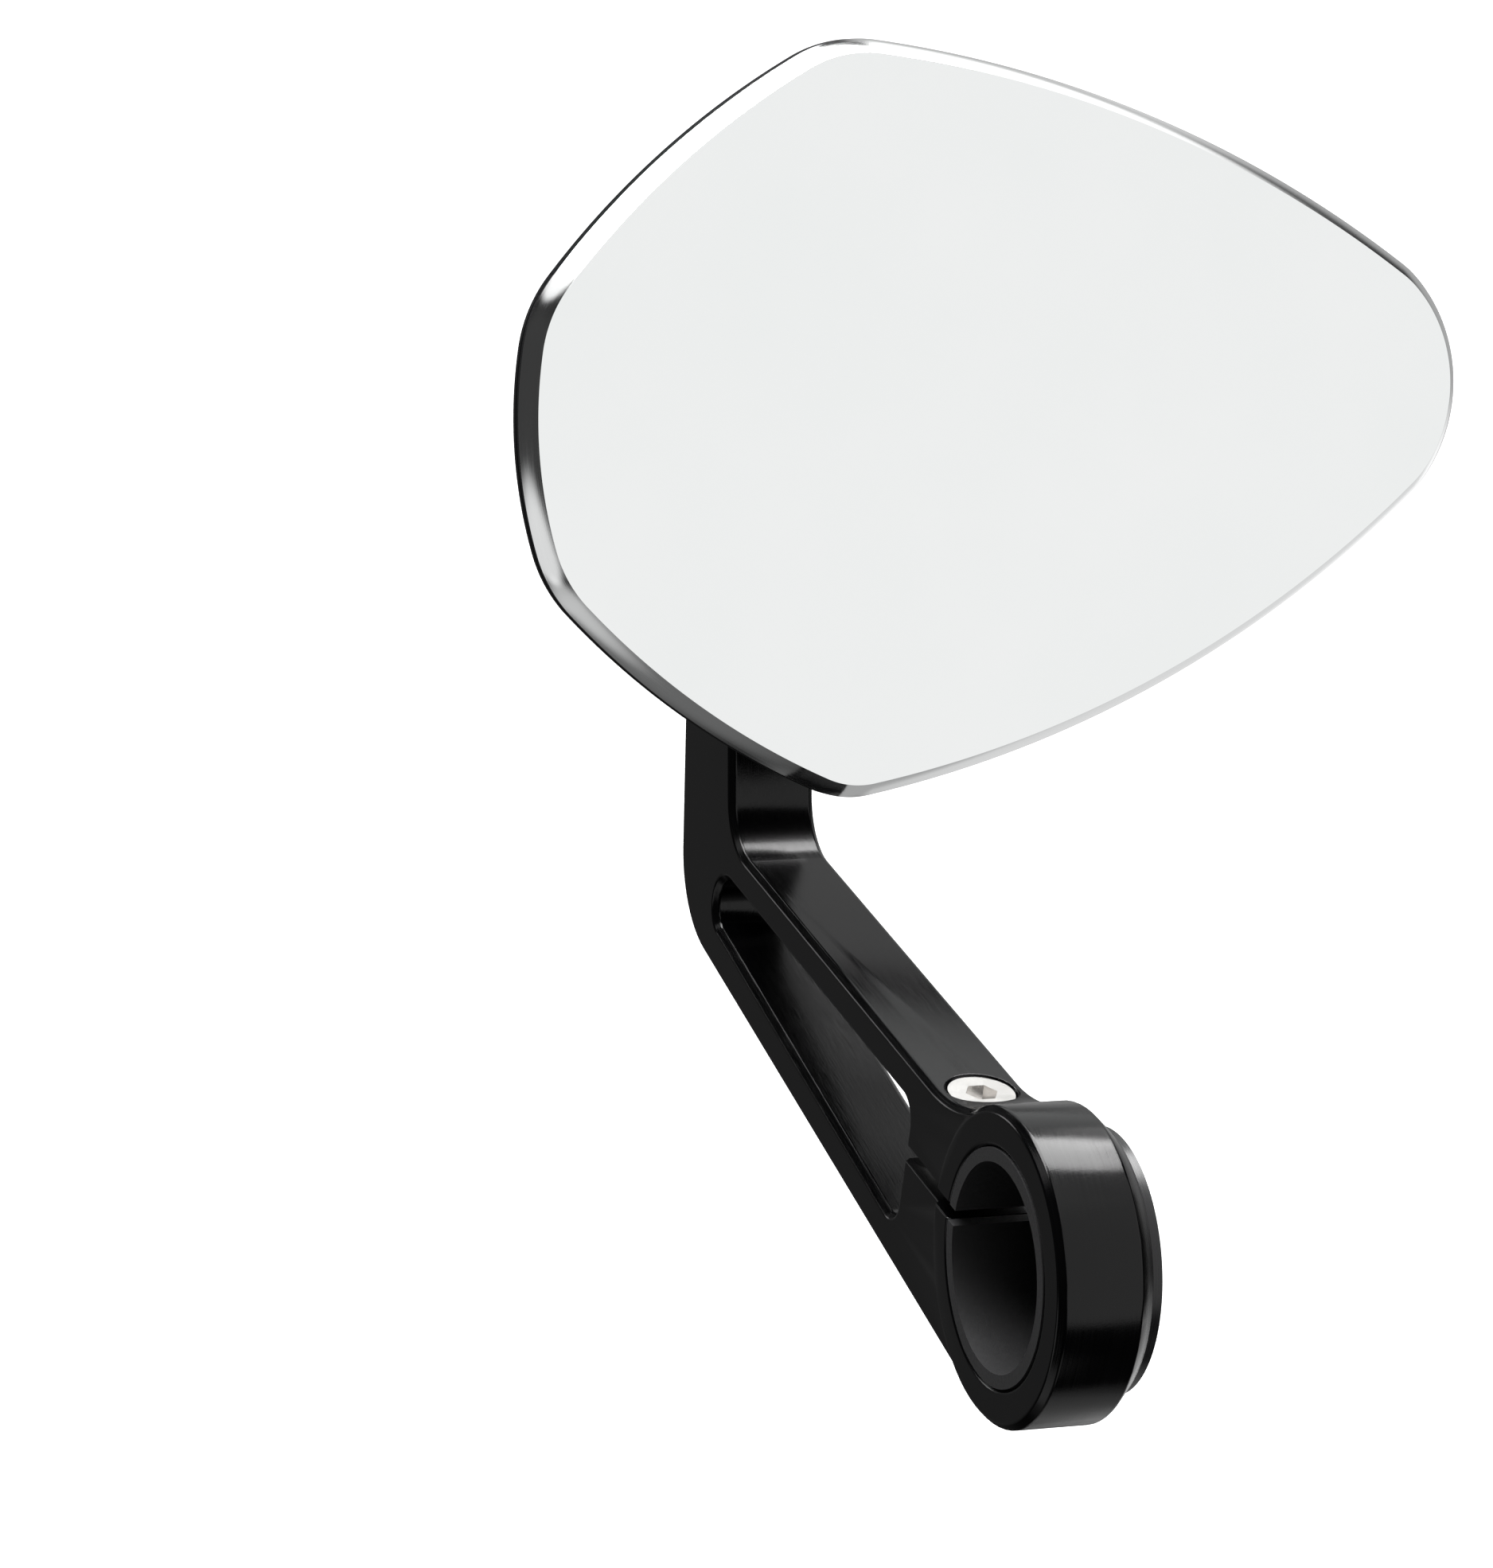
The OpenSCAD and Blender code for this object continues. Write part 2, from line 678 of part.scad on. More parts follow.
module mirror_back() {
    color("#1b1c1d") at_head() difference() {
        translate([plate_shift, 0, 0]) loft([
            plate_ring(0, film_back), plate_ring(0, rim_back), plate_ring(0, back_at, back_share)
        ]);
        for (a = [45:90:315]) rotate(a)
            translate([hub_screw_circle, 0, flange_at - hub_screw_len - face_gap])
                cylinder(r = hub_screw_r, h = hub_screw_len);
    }
}

module mount_hub() {
    tip = 0.8;
    color("#1b1c1d") at_head() difference() {
        rotate_extrude() polygon([
            [bush_r - past, back_at], [hub_r, back_at], [hub_r, flange_at - tip],
            [hub_r - tip, flange_at], [hub_body_r, flange_at], [hub_tip_r, hub_end - tip],
            [hub_tip_r - tip, hub_end], [bush_r - past, hub_end]
        ]);
        translate([0, 0, back_at - past]) cylinder(r = pocket_r, h = pocket_end - back_at + past);
        translate([0, 0, back_at - past]) cylinder(r = bush_r, h = hub_end - back_at + 2 * past);
        for (a = [45:90:315]) rotate(a) translate([hub_screw_circle, 0, 0]) {
            translate([0, 0, back_at - past]) cylinder(r = hub_screw_r + face_gap, h = hub_flange + 2 * past);
            translate([0, 0, flange_at + hub_screw_r - hub_sink_r])
                cylinder(r1 = hub_screw_r, r2 = hub_sink_r + past, h = hub_sink_r - hub_screw_r + past);
        }
    }
}

module hub_screws() {
    color("#2a2b2d") at_head() for (a = [45:90:315]) rotate(a)
        translate([hub_screw_circle, 0, flange_at])
            sunk_screw(hub_screw_r, hub_sink_r, hub_screw_len, hub_screw_r * 1.33);
}

module swivel_bush() {
    color("#b08d3f") at_head() {
        ring_solid(bush_r, bush_bore_r, pocket_end, hub_end);
        ring_solid(bush_flange_r, bush_bore_r, hub_end, bush_end);
    }
}

bar_sleeve();
end_cap();
cap_ring();
arm();
clamp_screw();
thrust_cup();
disc_springs();
adjuster_plug();
lock_screw();
liner_front();
liner_rear();
ball_stud();
stud_nut();
stud_washer();
swivel_spring();
mirror_plate();
bond_film();
mirror_back();
mount_hub();
hub_screws();
swivel_bush();
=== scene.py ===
"""Bar-end mirror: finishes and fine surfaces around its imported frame.

Metres, in the frame's own axes: +X along the handlebar, outboard; +Y forward; +Z up.
The origin is the centre of the clamp ring.
"""
import json
import math

import bmesh
import bpy
import numpy as np
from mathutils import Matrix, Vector


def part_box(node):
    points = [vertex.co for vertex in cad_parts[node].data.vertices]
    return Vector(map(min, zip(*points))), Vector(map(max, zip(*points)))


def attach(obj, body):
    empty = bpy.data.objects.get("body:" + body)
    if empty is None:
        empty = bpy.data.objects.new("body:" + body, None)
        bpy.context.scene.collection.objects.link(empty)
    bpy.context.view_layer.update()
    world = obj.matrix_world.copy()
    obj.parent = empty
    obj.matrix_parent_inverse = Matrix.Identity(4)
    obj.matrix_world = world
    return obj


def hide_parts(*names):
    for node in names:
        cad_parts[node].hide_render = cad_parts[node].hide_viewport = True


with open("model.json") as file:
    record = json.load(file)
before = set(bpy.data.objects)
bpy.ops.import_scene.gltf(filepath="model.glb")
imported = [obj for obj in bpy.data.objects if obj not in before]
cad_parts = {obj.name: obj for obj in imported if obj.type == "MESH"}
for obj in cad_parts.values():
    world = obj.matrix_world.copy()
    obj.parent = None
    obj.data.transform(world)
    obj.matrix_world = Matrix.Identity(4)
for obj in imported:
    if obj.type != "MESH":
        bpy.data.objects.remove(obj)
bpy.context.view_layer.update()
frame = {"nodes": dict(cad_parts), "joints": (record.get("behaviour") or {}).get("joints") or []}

MM = 0.001
nodes = frame["nodes"]
joints = {joint["name"]: joint for joint in frame["joints"]}
ball = np.array(joints["head_turn"]["pos_m"])

# ---- Sizes, in millimetres ----

# The mirror's long axis leans by this angle about the ball, and its outline's middle lies this far along it
HEAD_TILT = math.radians(3.6)
PLATE_SHIFT = 21.4

# The mirror's edge: six corners, anticlockwise, each with its rounding, and the rise of each side's arc
EDGE_CORNERS = np.array([
    [53.0, -12.8], [53.0, 12.8], [-17.6, 43.7], [-55.5, 15.8], [-55.5, -15.8], [-22.0, -42.7]
])
EDGE_ROUND = [12.928, 12.928, 15.9, 16.6, 16.6, 11.3]
EDGE_RISE = [5.376, 5.1, 2.8, 2.4, 2.5, 5.9]
SIDES = len(EDGE_CORNERS)
CORNER_STEPS = 20
SIDE_STEPS = 36

# The plate. The bevel's bulge goes outward and to the front by these shares of it
PLATE_THICKNESS = 2.8
BEVEL_WIDTH = 1.6
BEVEL_DEPTH = 2.2
BEVEL_BULGE = 0.08
BULGE_OUTWARD = 0.8
BULGE_FORWARD = 0.6
BEVEL_STEPS = 10
FACE_RINGS = 40
FACE_SPACING = 0.9

# The film and the back. Places on the back are shares of the way from its middle to its edge
FILM_INSET = 0.8
BACK_RIM = 1.0
BACK_FRONT_CHAMFER = 0.12
BACK_REAR_CHAMFER = 0.15
SLOPE_FOOT = 0.99
SLOPE_TOP = 0.865
GROOVE_PLACE = 0.80
GROOVE_WIDTH = 0.006
GROOVE_DEPTH = 0.35

# The arm: points this near are one, and each sharp edge is broken by this much
ARM_MERGE = 0.03
ARM_EDGE_BREAK = 0.2


# ---- Node graph helpers ----

class Finish:
    """A new material with short calls for the nodes that it needs.

    Noise scales are in waves to the metre, and bump distances in metres.
    """

    def __init__(self, name, **sockets):
        self.material = bpy.data.materials.new(name)
        self.material.use_nodes = True
        self.tree = self.material.node_tree
        self.shader = self.tree.nodes["Principled BSDF"]
        for socket, value in sockets.items():
            self.shader.inputs[socket.replace("_", " ")].default_value = value
        self.place = self.add("ShaderNodeTexCoord").outputs["Object"]

    def add(self, kind, inputs=(), **settings):
        node = self.tree.nodes.new(kind)
        for key, value in settings.items():
            setattr(node, key, value)
        for key, value in dict(inputs).items():
            socket = node.inputs[key]
            if isinstance(value, bpy.types.NodeSocket):
                self.tree.links.new(value, socket)
            else:
                socket.default_value = value
        return node

    def link(self, output, socket):
        self.tree.links.new(output, self.shader.inputs[socket])

    def stretched(self, scale, vector=None):
        """Object coordinates, or another vector, scaled by a factor for each axis."""
        node = self.add("ShaderNodeMapping", {"Vector": vector or self.place, "Scale": scale})
        return node.outputs["Vector"]

    def noise(self, vector, scale, detail=2.0, roughness=0.5):
        node = self.add("ShaderNodeTexNoise", {
            "Vector": vector, "Scale": scale, "Detail": detail, "Roughness": roughness})
        return node.outputs["Fac"]

    def ramp(self, value, low, high, start, end):
        """Value from low to high becomes start to end, and no further."""
        node = self.add("ShaderNodeMapRange", {
            "Value": value, "From Min": low, "From Max": high, "To Min": start, "To Max": end})
        return node.outputs["Result"]

    def sum(self, a, b, operation="ADD"):
        return self.add("ShaderNodeMath", {0: a, 1: b}, operation=operation).outputs[0]

    def blend(self, share, a, b):
        node = self.add("ShaderNodeMix", data_type="FLOAT")
        for socket, value in ((0, share), (2, a), (3, b)):
            if isinstance(value, bpy.types.NodeSocket):
                self.tree.links.new(value, node.inputs[socket])
            else:
                node.inputs[socket].default_value = value
        return node.outputs[0]

    def tint(self, share, dark, light):
        """Base colour between two colours."""
        node = self.add("ShaderNodeMix", data_type="RGBA")
        if isinstance(share, bpy.types.NodeSocket):
            self.tree.links.new(share, node.inputs[0])
        node.inputs[6].default_value = (*dark, 1)
        node.inputs[7].default_value = (*light, 1)
        self.link(node.outputs[2], "Base Color")

    def bump(self, height, distance, strength=1.0):
        node = self.add("ShaderNodeBump", {
            "Height": height, "Distance": distance, "Strength": strength})
        self.link(node.outputs["Normal"], "Normal")

    def radius_from(self, centre, axis):
        """Distance from an axis along X, Y or Z through a point, in metres."""
        keep = [0.0 if k == axis else 1.0 for k in range(3)]
        node = self.add("ShaderNodeMapping", {
            "Vector": self.place, "Location": [-c * k for c, k in zip(centre, keep)], "Scale": keep})
        length = self.add("ShaderNodeVectorMath", {0: node.outputs["Vector"]}, operation="LENGTH")
        return length.outputs["Value"]

    def turned(self, centre, axis, scale, detail):
        """Noise that is the same all round an axis: the marks that a lathe leaves."""
        from_axis = self.radius_from(centre, axis)
        along = self.add("ShaderNodeSeparateXYZ", {0: self.place}).outputs[axis]
        section = self.add("ShaderNodeCombineXYZ", {0: from_axis, 1: along}).outputs[0]
        return self.noise(self.stretched((scale, scale, 1), section), 1.0, detail, 0.6)


# ---- Finishes ----

def anodised_arm():
    """Black anodised aluminium: end-milled flats with faint cutter lines, and a ring turned on a lathe."""
    f = Finish("black_anodised_arm", Base_Color=(0.012, 0.012, 0.013, 1), Roughness=0.32)
    f.shader.inputs["Specular IOR Level"].default_value = 0.26
    from_axis = f.radius_from((0, 0, 0), 0)
    in_ring = f.ramp(from_axis, 0.0172, 0.0176, 1.0, 0.0)
    turned = f.noise(f.stretched((9000, 60, 60)), 1.0, 3.0, 0.6)
    milled = f.noise(f.stretched((9000, 90, 700)), 1.0, 2.0, 0.5)
    fine = f.noise(f.place, 4200, 2.0, 0.6)
    lines = f.blend(in_ring, milled, turned)
    cloud = f.noise(f.place, 60, 2.0)
    smooth = f.blend(in_ring, f.ramp(lines, 0.3, 0.7, 0.14, 0.24), f.ramp(lines, 0.3, 0.7, 0.11, 0.21))
    f.link(f.sum(smooth, f.ramp(cloud, 0.3, 0.7, -0.02, 0.02)), "Roughness")
    f.tint(lines, (0.0004, 0.0004, 0.0005), (0.0012, 0.0012, 0.0014))
    f.bump(f.blend(0.35, lines, fine), 0.00002, 0.6)
    return f.material


def anodised_plain(name, axis=None, centre=(0, 0, 0), specular=0.42):
    """Black anodised aluminium, bead blasted, or turned about an axis."""
    f = Finish(name, Base_Color=(0.012, 0.012, 0.013, 1), Roughness=0.34)
    f.shader.inputs["Specular IOR Level"].default_value = specular
    fine = f.noise(f.place, 3800, 3.0, 0.6)
    cloud = f.noise(f.place, 70, 2.0)
    lines = fine if axis is None else f.turned(centre, axis, 7000, 3.0)
    f.link(f.sum(f.ramp(lines, 0.3, 0.7, 0.22, 0.34), f.ramp(cloud, 0.3, 0.7, -0.03, 0.03)), "Roughness")
    f.tint(cloud, (0.006, 0.006, 0.0065), (0.011, 0.011, 0.012))
    f.bump(f.blend(0.4, lines, fine), 0.00002, 0.5)
    return f.material


def polished_face():
    """Polished mirror face: nearly flawless, with a faint haze."""
    f = Finish("polished_mirror_face", Base_Color=(0.87, 0.885, 0.88, 1), Metallic=1.0, Roughness=0.025)
    haze = f.noise(f.place, 35, 4.0, 0.6)
    f.link(f.ramp(haze, 0.35, 0.75, 0.018, 0.045), "Roughness")
    f.tint(f.ramp(haze, 0.3, 0.7, 0.0, 1.0), (0.865, 0.882, 0.877), (0.885, 0.895, 0.892))
    return f.material


def polished_bevel():
    """The bevel: bright metal with fine draw lines that run along the edge."""
    f = Finish("polished_bevel", Base_Color=(0.80, 0.81, 0.81, 1), Metallic=1.0, Roughness=0.12)
    along = f.add("ShaderNodeUVMap", uv_map="edge").outputs["UV"]
    lines = f.noise(f.stretched((25, 9000, 1), along), 1.0, 3.0, 0.6)
    f.link(f.ramp(lines, 0.3, 0.7, 0.07, 0.17), "Roughness")
    f.tint(lines, (0.72, 0.73, 0.73), (0.86, 0.865, 0.865))
    f.bump(lines, 0.000004, 0.6)
    return f.material


def steel(name, light, rough):
    """Bright or blackened steel, or bronze, with a fine grain."""
    f = Finish(name, Metallic=1.0, Roughness=rough)
    cloud = f.noise(f.place, 240, 3.0)
    grain = f.noise(f.place, 5000, 2.0)
    dark = [c * 0.78 for c in light]
    f.tint(f.ramp(cloud, 0.3, 0.7, 0.0, 1.0), dark, light)
    f.link(f.ramp(grain, 0.3, 0.7, rough * 0.75, rough * 1.3), "Roughness")
    f.bump(grain, 0.00001, 0.4)
    return f.material


def plastic(name, colour, rough, grain, specular=0.45, subsurface=0.0):
    """Moulded plastic or rubber with a fine grain."""
    f = Finish(name, Roughness=rough)
    f.shader.inputs["Specular IOR Level"].default_value = specular
    f.shader.inputs["Subsurface Weight"].default_value = subsurface
    f.shader.inputs["Subsurface Scale"].default_value = 0.001
    fine = f.noise(f.place, grain, 3.0, 0.6)
    cloud = f.noise(f.place, 90, 2.0)
    f.tint(cloud, [c * 0.85 for c in colour], [min(c * 1.12, 1.0) for c in colour])
    f.link(f.ramp(fine, 0.3, 0.7, rough * 0.85, min(rough * 1.15, 1.0)), "Roughness")
    f.bump(fine, 0.00003, 0.5)
    return f.material


# ---- Mesh helpers ----

def side_circle(i):
    """Centre and radius of the arc that bulges by its rise over the side from corner i."""
    a, b, rise = EDGE_CORNERS[i], EDGE_CORNERS[(i + 1) % SIDES], EDGE_RISE[i]
    span = np.hypot(*(b - a))
    radius = (span ** 2 / 4 + rise ** 2) / (2 * rise)
    inward = np.array([a[1] - b[1], b[0] - a[0]]) / span
    return (a + b) / 2 + inward * (radius - rise), radius


def rounding_centre(i):
    """Centre of the arc at corner i: it lies its own radius inside both side circles."""
    (c1, r1), (c2, r2) = side_circle(i - 1), side_circle(i)
    r1, r2 = r1 - EDGE_ROUND[i], r2 - EDGE_ROUND[i]
    gap = c2 - c1
    length = np.hypot(*gap)
    along = (length ** 2 + r1 ** 2 - r2 ** 2) / (2 * length)
    off = math.sqrt(r1 ** 2 - along ** 2)
    middle = c1 + gap / length * along
    square = np.array([-gap[1], gap[0]]) / length
    choices = [middle + square * off, middle - square * off]
    return min(choices, key=lambda c: np.hypot(*(c - EDGE_CORNERS[i])))


def heading(v):
    return math.atan2(v[1], v[0])


def short_turn(a, b):
    return (b - a + math.pi) % (2 * math.pi) - math.pi


def mirror_edge(inset=0.0):
    """The mirror's outline drawn in by an inset.

    It runs on an arc about each corner's centre, then on one about each side's centre.
    """
    points = []
    for i in range(SIDES):
        before, side = side_circle(i - 1), side_circle(i)
        here, after = rounding_centre(i), rounding_centre((i + 1) % SIDES)
        a, b, c = heading(here - before[0]), heading(here - side[0]), heading(after - side[0])
        for centre, radius, start, turn, steps in (
                (here, EDGE_ROUND[i], a, short_turn(a, b), CORNER_STEPS),
                (side[0], side[1], b, short_turn(b, c), SIDE_STEPS)):
            angle = start + turn * np.arange(steps) / steps
            points.append(centre + (radius - inset) * np.stack([np.cos(angle), np.sin(angle)], 1))
    return np.concatenate(points)


def on_head(across, depth):
    """Points on the head, in metres.

    The flat outline is in millimetres about the plate's middle, and the depths are in metres.
    """
    x, z = (across[..., 0] + PLATE_SHIFT) * MM, across[..., 1] * MM
    c, s = math.cos(HEAD_TILT), math.sin(HEAD_TILT)
    depth = np.broadcast_to(depth, x.shape)
    return np.stack([ball[0] + x * c - z * s, depth, ball[2] + x * s + z * c], -1)


def new_object(name, points, faces, materials, band=None, smooth_angle=None):
    """A mesh object at the origin with its materials, each face in the band that its list gives."""
    mesh = bpy.data.meshes.new(name)
    mesh.from_pydata(points.tolist(), [], faces)
    for material in materials:
        mesh.materials.append(material)
    if band is not None:
        mesh.polygons.foreach_set("material_index", np.asarray(band, np.int32))
    mesh.polygons.foreach_set("use_smooth", np.ones(len(mesh.polygons), bool))
    if smooth_angle is not None:
        mesh.set_sharp_from_angle(angle=math.radians(smooth_angle))
    mesh.update()
    made = bpy.data.objects.new(name, mesh)
    bpy.context.scene.collection.objects.link(made)
    return made


def lofted(name, rings, materials, ring_bands, smooth_angle, uv=None):
    """A closed skin through rings of points: quads between neighbouring rings and a fan to each pole.

    Point j of ring i is joined to the next point of the ring and to the same point of the ring after.
    The first and last rings close on their own middle points.
    """
    rings = np.asarray(rings)
    count, around = rings.shape[:2]
    points = np.concatenate([rings.reshape(-1, 3), [rings[0].mean(0)], [rings[-1].mean(0)]])
    j = np.arange(around)
    k = (j + 1) % around
    quads = np.concatenate([
        np.stack([i * around + j, i * around + k, (i + 1) * around + k, (i + 1) * around + j], 1)
        for i in range(count - 1)])
    first, last = len(points) - 2, len(points) - 1
    low_fan = np.stack([np.full(around, first), k, j], 1)
    high_fan = np.stack([np.full(around, last), (count - 1) * around + j, (count - 1) * around + k], 1)
    faces = quads.tolist() + low_fan.tolist() + high_fan.tolist()
    band = np.concatenate([
        np.repeat(ring_bands, around), np.full(around, ring_bands[0]), np.full(around, ring_bands[-1])])
    made = new_object(name, points, faces, materials, band, smooth_angle)
    if uv is not None:
        layer = made.data.uv_layers.new(name="edge")
        corner = np.empty(len(made.data.loops), np.int32)
        made.data.loops.foreach_get("vertex_index", corner)
        table = np.concatenate([uv.reshape(-1, 2), np.zeros((2, 2))])
        layer.data.foreach_set("uv", table[corner].ravel())
    return made


def finish_node(name, material):
    """Gives a carried-over node its finish."""
    slots = nodes[name].data.materials
    slots.clear()
    slots.append(material)


# ---- Mirror head ----

def mirror_plate(face, bevel, dark):
    """The polished plate.

    Rings run from the middle of its back, out to its edge, over a slightly bulging bevel and in to the
    middle of its face, which is a shallow dome: its depth falls with the square of the distance from
    the plate's middle.
    """
    low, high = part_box("mirror_plate")
    back, front = high.y, low.y
    edge, rim = mirror_edge(), mirror_edge(BEVEL_WIDTH)
    reach = np.hypot(*rim.T).max()
    bevel_start = back - (PLATE_THICKNESS - BEVEL_DEPTH) * MM
    slope = math.hypot(BEVEL_WIDTH, BEVEL_DEPTH) * MM

    def dome(points):
        from_middle = np.hypot(points[..., 0], points[..., 1]) / reach
        return front + (back - PLATE_THICKNESS * MM - front) * from_middle ** 2

    rings = [on_head(edge * share, back) for share in (0.5, 0.97, 1.0)]
    rings.append(on_head(edge, bevel_start))
    across = [0.0] * len(rings)
    rim_depth = dome(rim)
    for t in np.arange(1, BEVEL_STEPS + 1) / BEVEL_STEPS:
        bulge = BEVEL_BULGE * MM * 4 * t * (1 - t)
        flat = mirror_edge(BEVEL_WIDTH * t - bulge / MM * BULGE_OUTWARD)
        rings.append(on_head(flat, bevel_start + (rim_depth - bevel_start) * t - bulge * BULGE_FORWARD))
        across.append(slope * t)
    for share in 1 - (np.arange(1, FACE_RINGS + 1) / (FACE_RINGS + 1)) ** FACE_SPACING:
        rings.append(on_head(rim * share, dome(rim * share)))
        across.append(slope)
    bands = [0] * 3 + [1] * BEVEL_STEPS + [2] * FACE_RINGS
    step_lengths = np.hypot(*(np.roll(edge, -1, 0) - edge).T) * MM
    along = np.concatenate([[0], np.cumsum(step_lengths)[:-1]])
    uv = np.stack(np.broadcast_arrays(along[None, :], np.array(across)[:, None]), -1)
    made = lofted("mirror_plate_polished", rings, [dark, bevel, face], bands, 25, uv)
    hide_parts("mirror_plate")
    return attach(made, "head")


def bond_line(dark):
    """The thin film between the plate and its back: the outline drawn in, straight through."""
    low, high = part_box("bond_film")
    edge = mirror_edge(FILM_INSET)
    rings = [on_head(edge * share, depth) for share, depth in (
        (0.5, high.y), (1.0, high.y), (1.0, low.y), (0.5, low.y))]
    made = lofted("bond_film_edge", rings, [dark], [0, 0, 0], 30)
    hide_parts("bond_film")
    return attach(made, "head")


def mirror_back(dark):
    """The black back: a straight rim, a slope that rises to a flat middle, and a machined groove.

    The slope's height over the rim grows evenly with the share of the way in from the edge, and the
    groove's depth follows a bell curve of that share.
    """
    low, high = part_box("mirror_back")
    floor, top = low.y, high.y
    rim = floor + BACK_RIM * MM
    edge = mirror_edge()
    rings = [
        on_head(edge * 0.5, floor),
        on_head(mirror_edge(BACK_FRONT_CHAMFER), floor),
        on_head(edge, floor + BACK_FRONT_CHAMFER * MM),
        on_head(edge, rim - BACK_REAR_CHAMFER * MM),
        on_head(mirror_edge(BACK_REAR_CHAMFER), rim)]
    shares = np.concatenate([np.linspace(0.985, 0.86, 22), np.linspace(0.85, 0.70, 40), [0.6, 0.4, 0.2]])
    for share in shares:
        rise = np.clip((SLOPE_FOOT - share) / (SLOPE_FOOT - SLOPE_TOP), 0, 1)
        groove = GROOVE_DEPTH * MM * np.exp(-((share - GROOVE_PLACE) / GROOVE_WIDTH) ** 2)
        rings.append(on_head(edge * share, rim + (top - rim) * rise - groove))
    made = lofted("mirror_back_shell", np.array(rings)[::-1], [dark], [0] * (len(rings) - 1), 28)
    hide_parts("mirror_back")
    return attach(made, "head")


# ---- Arm ----

def arm_edges(dark):
    """The arm, with every sharp edge broken by a narrow rounded bevel."""
    source = nodes["arm"].data
    shell = bmesh.new()
    shell.from_mesh(source)
    bmesh.ops.remove_doubles(shell, verts=shell.verts, dist=ARM_MERGE * MM)
    bmesh.ops.dissolve_limit(shell, angle_limit=math.radians(0.4), verts=shell.verts, edges=shell.edges)
    mesh = bpy.data.meshes.new("arm_machined")
    shell.to_mesh(mesh)
    shell.free()
    mesh.materials.clear()
    mesh.materials.append(dark)
    mesh.polygons.foreach_set("use_smooth", np.ones(len(mesh.polygons), bool))
    mesh.set_sharp_from_angle(angle=math.radians(24))
    made = bpy.data.objects.new("arm_machined", mesh)
    bpy.context.scene.collection.objects.link(made)
    bevel = made.modifiers.new("edges", "BEVEL")
    bevel.width = ARM_EDGE_BREAK * MM
    bevel.segments = 3
    bevel.limit_method = "ANGLE"
    bevel.angle_limit = math.radians(30)
    bevel.use_clamp_overlap = False
    bevel.harden_normals = True
    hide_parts("arm")
    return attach(made, "arm")


# ---- Camera, light and stage ----

# Brightness of the surroundings between their bright patches
DUSK = 0.015

# Bright patches of the surroundings: direction, angle of the even middle, angle of the end, brightness
SKY = [
    ((0.40, -0.85, 0.34), 47, 55, 0.95),    # the panel in front of the mirror
    ((0.10, -0.50, 0.86), 10, 26, 0.30),    # its brighter top
    ((0.12, -0.42, -0.90), 6, 20, 0.50),    # a reflector below it
    ((-0.08, 0.50, 0.86), 4, 12, 3.00),     # a strip lamp behind, high up
    ((-0.47, 0.80, 0.37), 4, 12, 2.50),     # and one lower down on the left
    ((-0.65, 0.08, 0.76), 8, 15, 1.20),     # the ceiling's end on the left
    ((-1.00, 0.00, 0.10), 12, 36, 0.035),   # the dim wall on the left
    ((-0.89, 0.07, -0.45), 9, 19, 0.85),    # a low panel beside it
    ((-0.60, 0.12, -0.79), 6, 18, 0.50),    # its foot
    ((0.68, 0.60, -0.42), 8, 25, 0.80),     # a low panel on the right
    ((0.66, 0.73, 0.10), 12, 31, 0.42),     # the wall over it
    ((0.60, 0.34, 0.73), 8, 17, 1.30),      # the ceiling's end on the right
    ((0.44, 0.64, 0.63), 8, 20, 0.55),      # and its far end
    ((0.32, 0.36, -0.87), 10, 26, 0.42),    # the floor's return on the right
    ((-0.40, 0.14, -0.91), 6, 26, 0.14),    # and on the left
    ((-0.36, 0.93, -0.10), 12, 42, 0.09),   # the dim wall behind
]


# The camera looks at a point, in millimetres, from a distance in metres
CAMERA_TARGET = (-33.344, 0.0, 51.675)
CAMERA_AZIMUTH = math.radians(-21.059)
CAMERA_ELEVATION = math.radians(5.722)
CAMERA_DISTANCE = 0.5998
CAMERA_LENS = 135.49
CAMERA_SENSOR = 36.0

# The floor, in metres: its height, how far out it is flat, where its rounding starts, its rounding's
# width and height, and its wall's distance and top
FLOOR_LEVEL = -0.32
FLOOR_FLAT = (0.02, 0.4, 0.9)
ROUNDING_START = 1.4
ROUNDING = 0.6
WALL_DISTANCE = 2.0
WALL_TOP = 3.0
ROUNDING_STEPS = 25
FLOOR_STEPS = 96


def camera():
    """A long lens to the left of the arm, a little above the head's middle."""
    target = np.array(CAMERA_TARGET) * MM
    azimuth, elevation = CAMERA_AZIMUTH, CAMERA_ELEVATION
    back = np.array([
        math.sin(azimuth) * math.cos(elevation),
        -math.cos(azimuth) * math.cos(elevation),
        math.sin(elevation)])
    data = bpy.data.cameras.new("camera")
    data.lens = CAMERA_LENS
    data.sensor_width = CAMERA_SENSOR
    data.clip_start, data.clip_end = 0.01, 50.0
    made = bpy.data.objects.new("camera", data)
    made.location = target + back * CAMERA_DISTANCE
    made.rotation_euler = (math.pi / 2 - elevation, 0.0, azimuth)
    bpy.context.scene.collection.objects.link(made)
    bpy.context.scene.camera = made


def softbox(name, place, aim, size, power):
    """A rectangular lamp that faces a point."""
    data = bpy.data.lights.new(name, "AREA")
    data.shape = "RECTANGLE"
    data.size, data.size_y = size
    data.energy = power
    made = bpy.data.objects.new(name, data)
    made.location = place
    made.rotation_euler = (Vector(aim) - Vector(place)).to_track_quat("-Z", "Y").to_euler()
    made.visible_camera = False
    bpy.context.scene.collection.objects.link(made)


